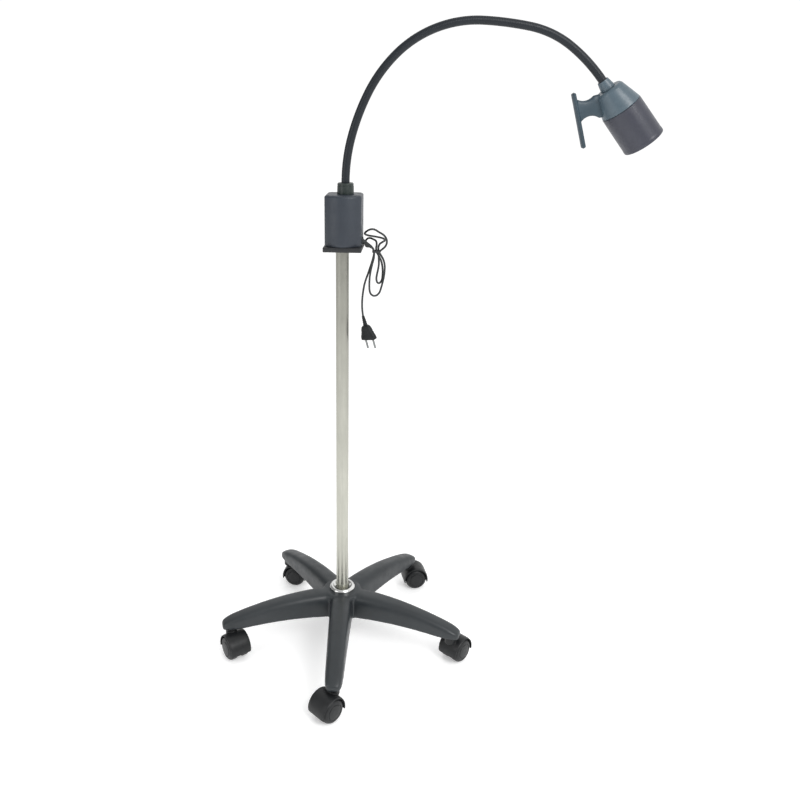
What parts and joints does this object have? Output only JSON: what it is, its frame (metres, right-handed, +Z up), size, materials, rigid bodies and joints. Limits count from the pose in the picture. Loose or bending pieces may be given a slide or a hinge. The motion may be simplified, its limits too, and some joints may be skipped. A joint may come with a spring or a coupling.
{
  "type": "mobile examination lamp",
  "caption": "Gooseneck examination lamp with a round head and T-handle, on a driver case, column and star base with twin-wheel castors; its mains lead hangs in a tied hank.",
  "frame": {"origin": "on the floor, on the column's axis", "axes": "+Z up along the column; +X the side that the gooseneck arches over to; -Y the front, with the bowed face of the driver case"},
  "size_m": [0.8612, 0.5257, 1.2961],
  "materials": {
    "base_nylon": "moulded, satin",
    "pole_steel": "satin",
    "bright_steel": "polished",
    "zinc_steel": "zinc plated",
    "cast_zinc": "as cast",
    "case_plastic": "fine texture",
    "black_plate": "fine texture",
    "driver_potting": "matte",
    "white_plastic": "matte",
    "black_plastic": "satin",
    "red_plastic": "gloss",
    "cord_rubber": "matte",
    "collar_paint": "satin",
    "neck_sheath": "satin black, finely ribbed",
    "head_light_paint": "satin",
    "head_dark_paint": "satin",
    "handle_plastic": "satin",
    "sink_aluminium": "as extruded",
    "led_yellow": "phosphor",
    "clear_lens": "clear",
    "castor_plastic": "moulded, satin",
    "wheel_plastic": "moulded, satin"
  },
  "bodies": {
    "stand": {"star_base": "base_nylon", "hub_ring": "bright_steel", "pole": "pole_steel", "pole_plug": "zinc_steel", "pole_bolt": "zinc_steel", "case_shell": "case_plastic", "case_base_plate": "black_plate", "case_screws": "zinc_steel", "pole_socket": "cast_zinc", "led_driver": "driver_potting", "terminal_block": "white_plastic", "switch_frame": "black_plastic", "cord_gland": "cord_rubber", "neck_collar": "collar_paint", "neck_1": "neck_sheath", "cord_lead": "cord_rubber", "cord_hank": "cord_rubber", "cord_tie": "black_plastic", "plug_body": "cord_rubber", "plug_pins": "bright_steel"},
    "castor_1": {"castor_housing_1": "castor_plastic", "castor_pins_1": "bright_steel"},
    "wheel_left_1": {"wheel_left_1": "wheel_plastic"},
    "wheel_right_1": {"wheel_right_1": "wheel_plastic"},
    "castor_2": {"castor_housing_2": "castor_plastic", "castor_pins_2": "bright_steel"},
    "wheel_left_2": {"wheel_left_2": "wheel_plastic"},
    "wheel_right_2": {"wheel_right_2": "wheel_plastic"},
    "castor_3": {"castor_housing_3": "castor_plastic", "castor_pins_3": "bright_steel"},
    "wheel_left_3": {"wheel_left_3": "wheel_plastic"},
    "wheel_right_3": {"wheel_right_3": "wheel_plastic"},
    "castor_4": {"castor_housing_4": "castor_plastic", "castor_pins_4": "bright_steel"},
    "wheel_left_4": {"wheel_left_4": "wheel_plastic"},
    "wheel_right_4": {"wheel_right_4": "wheel_plastic"},
    "castor_5": {"castor_housing_5": "castor_plastic", "castor_pins_5": "bright_steel"},
    "wheel_left_5": {"wheel_left_5": "wheel_plastic"},
    "wheel_right_5": {"wheel_right_5": "wheel_plastic"},
    "neck_2": {"neck_2": "neck_sheath"},
    "neck_3": {"neck_3": "neck_sheath"},
    "neck_4": {"neck_4": "neck_sheath"},
    "neck_5": {"neck_5": "neck_sheath"},
    "neck_6": {"neck_6": "neck_sheath"},
    "neck_7": {"neck_7": "neck_sheath"},
    "head": {"neck_8": "neck_sheath", "head_collar": "head_light_paint", "rear_cone": "head_light_paint", "front_barrel": "head_dark_paint", "handle": "handle_plastic", "handle_screws": "zinc_steel", "heat_sink": "sink_aluminium", "led_board": "white_plastic", "led_chips": "led_yellow", "led_lenses": "clear_lens", "front_glass": "clear_lens", "front_bezel": "black_plastic"},
    "rocker": {"switch_rocker": "red_plastic"}
  },
  "joints": [
    {"name": "castor_swivel_1", "type": "hinge", "parent": "stand", "child": "castor_1", "pos_m": [-0.01709, -0.2444, 0.062], "axis": [0, 0, 1], "continuous": true},
    {"name": "wheel_left_roll_1", "type": "hinge", "parent": "castor_1", "child": "wheel_left_1", "pos_m": [-0.03026, -0.25668, 0.025], "axis": [-0.682, 0.7314, 0], "continuous": true},
    {"name": "wheel_right_roll_1", "type": "hinge", "parent": "castor_1", "child": "wheel_right_1", "pos_m": [-0.03026, -0.25668, 0.025], "axis": [-0.682, 0.7314, 0], "continuous": true},
    {"name": "castor_swivel_2", "type": "hinge", "parent": "stand", "child": "castor_2", "pos_m": [0.22716, -0.09178, 0.062], "axis": [0, 0, 1], "continuous": true},
    {"name": "wheel_left_roll_2", "type": "hinge", "parent": "castor_2", "child": "wheel_left_2", "pos_m": [0.23989, -0.07905, 0.025], "axis": [0.7071, -0.7071, 0], "continuous": true},
    {"name": "wheel_right_roll_2", "type": "hinge", "parent": "castor_2", "child": "wheel_right_2", "pos_m": [0.23989, -0.07905, 0.025], "axis": [0.7071, -0.7071, 0], "continuous": true},
    {"name": "castor_swivel_3", "type": "hinge", "parent": "stand", "child": "castor_3", "pos_m": [0.15748, 0.18768, 0.062], "axis": [0, 0, 1], "continuous": true},
    {"name": "wheel_left_roll_3", "type": "hinge", "parent": "castor_3", "child": "wheel_left_3", "pos_m": [0.17531, 0.19019, 0.025], "axis": [0.1392, -0.9903, 0], "continuous": true},
    {"name": "wheel_right_roll_3", "type": "hinge", "parent": "castor_3", "child": "wheel_right_3", "pos_m": [0.17531, 0.19019, 0.025], "axis": [0.1392, -0.9903, 0], "continuous": true},
    {"name": "castor_swivel_4", "type": "hinge", "parent": "stand", "child": "castor_4", "pos_m": [-0.12983, 0.20777, 0.062], "axis": [0, 0, 1], "continuous": true},
    {"name": "wheel_left_roll_4", "type": "hinge", "parent": "castor_4", "child": "wheel_left_4", "pos_m": [-0.11237, 0.20342, 0.025], "axis": [-0.2419, -0.9703, 0], "continuous": true},
    {"name": "wheel_right_roll_4", "type": "hinge", "parent": "castor_4", "child": "wheel_right_4", "pos_m": [-0.11237, 0.20342, 0.025], "axis": [-0.2419, -0.9703, 0], "continuous": true},
    {"name": "castor_swivel_5", "type": "hinge", "parent": "stand", "child": "castor_5", "pos_m": [-0.23772, -0.05927, 0.062], "axis": [0, 0, 1], "continuous": true},
    {"name": "wheel_left_roll_5", "type": "hinge", "parent": "castor_5", "child": "wheel_left_5", "pos_m": [-0.22766, -0.07419, 0.025], "axis": [-0.829, -0.5592, 0], "continuous": true},
    {"name": "wheel_right_roll_5", "type": "hinge", "parent": "castor_5", "child": "wheel_right_5", "pos_m": [-0.22766, -0.07419, 0.025], "axis": [-0.829, -0.5592, 0], "continuous": true},
    {"name": "neck_bend_1", "type": "hinge", "parent": "stand", "child": "neck_2", "pos_m": [0.01719, 0, 1.08102], "axis": [0, 1, 0], "range_deg": [-30, 30]},
    {"name": "neck_bend_2", "type": "hinge", "parent": "neck_2", "child": "neck_3", "pos_m": [0.04796, 0, 1.16116], "axis": [-0.891, 0, 0.454], "range_deg": [-30, 30]},
    {"name": "neck_bend_3", "type": "hinge", "parent": "neck_3", "child": "neck_4", "pos_m": [0.09888, 0, 1.22998], "axis": [0, -1, 0], "range_deg": [-30, 30]},
    {"name": "neck_bend_4", "type": "hinge", "parent": "neck_4", "child": "neck_5", "pos_m": [0.17128, 0, 1.27522], "axis": [0.342, 0, -0.9397], "range_deg": [-30, 30]},
    {"name": "neck_bend_5", "type": "hinge", "parent": "neck_5", "child": "neck_6", "pos_m": [0.25576, 0, 1.28784], "axis": [0, 1, 0], "range_deg": [-30, 30]},
    {"name": "neck_bend_6", "type": "hinge", "parent": "neck_6", "child": "neck_7", "pos_m": [0.34105, 0, 1.27737], "axis": [0.1908, 0, 0.9816], "range_deg": [-30, 30]},
    {"name": "neck_bend_7", "type": "hinge", "parent": "neck_7", "child": "head", "pos_m": [0.41895, 0, 1.24269], "axis": [0, -1, 0], "range_deg": [-30, 30]},
    {"name": "switch_rock", "type": "hinge", "parent": "stand", "child": "rocker", "pos_m": [0.00633, 0.03151, 0.939], "axis": [0.9945, -0.1045, 0], "range_deg": [0, 16]}
  ]
}
